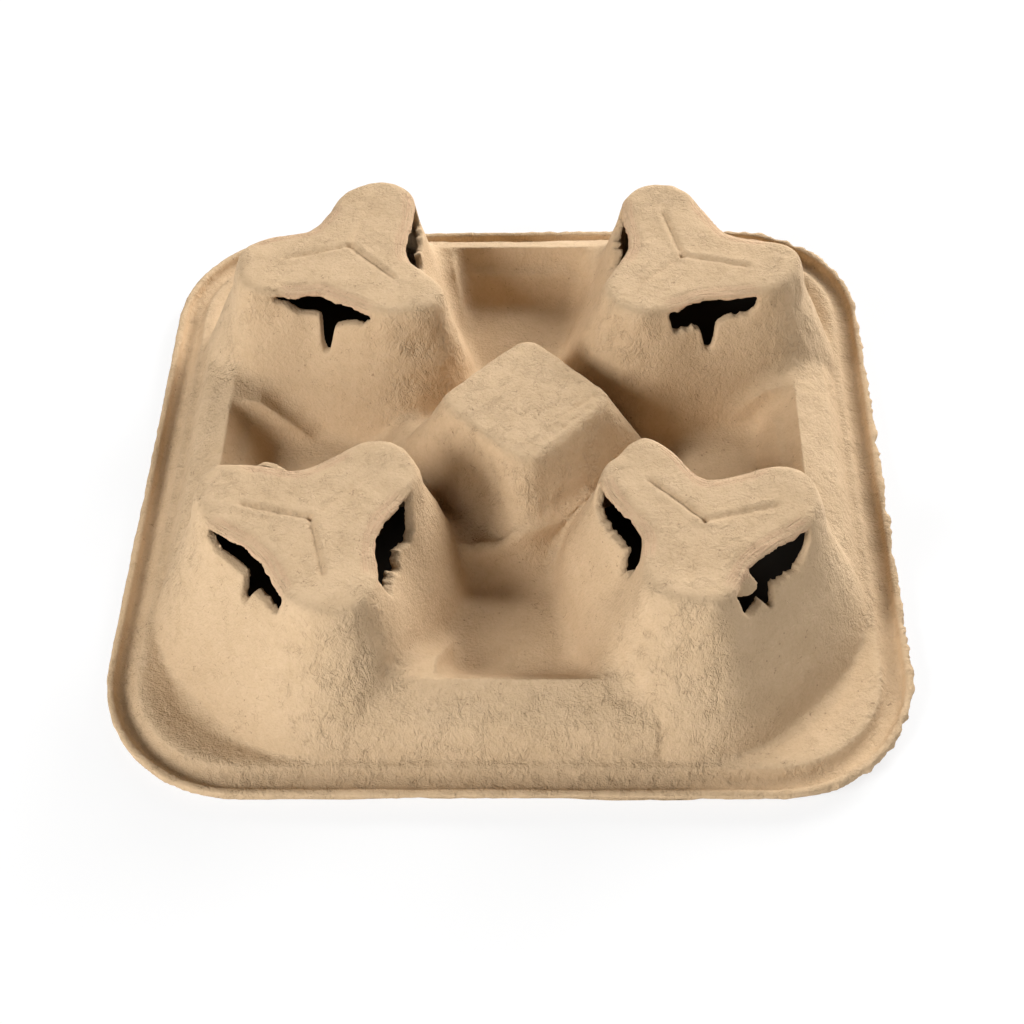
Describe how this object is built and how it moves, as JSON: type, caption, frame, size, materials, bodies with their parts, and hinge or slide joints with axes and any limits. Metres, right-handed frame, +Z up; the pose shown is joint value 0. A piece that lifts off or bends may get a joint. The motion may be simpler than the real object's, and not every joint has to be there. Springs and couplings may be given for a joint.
{
  "type": "cup carrier",
  "caption": "Square cup carrier moulded in one piece from paper pulp, lying upside down on its rim, with hollow lobed wells torn open at slots, a middle block and edge recesses.",
  "frame": {"origin": "on the table, under the middle of the tray's square outline", "axes": "+Z up, towards the flat undersides of the cup wells as the tray lies upside down; -Y towards the picture's near edge; +X to its right"},
  "size_m": [0.21, 0.21, 0.0448],
  "materials": {
    "moulded_pulp": "rough matt moulded pulp"
  },
  "bodies": {
    "root": {"pulp_tray": "moulded_pulp"}
  },
  "joints": []
}
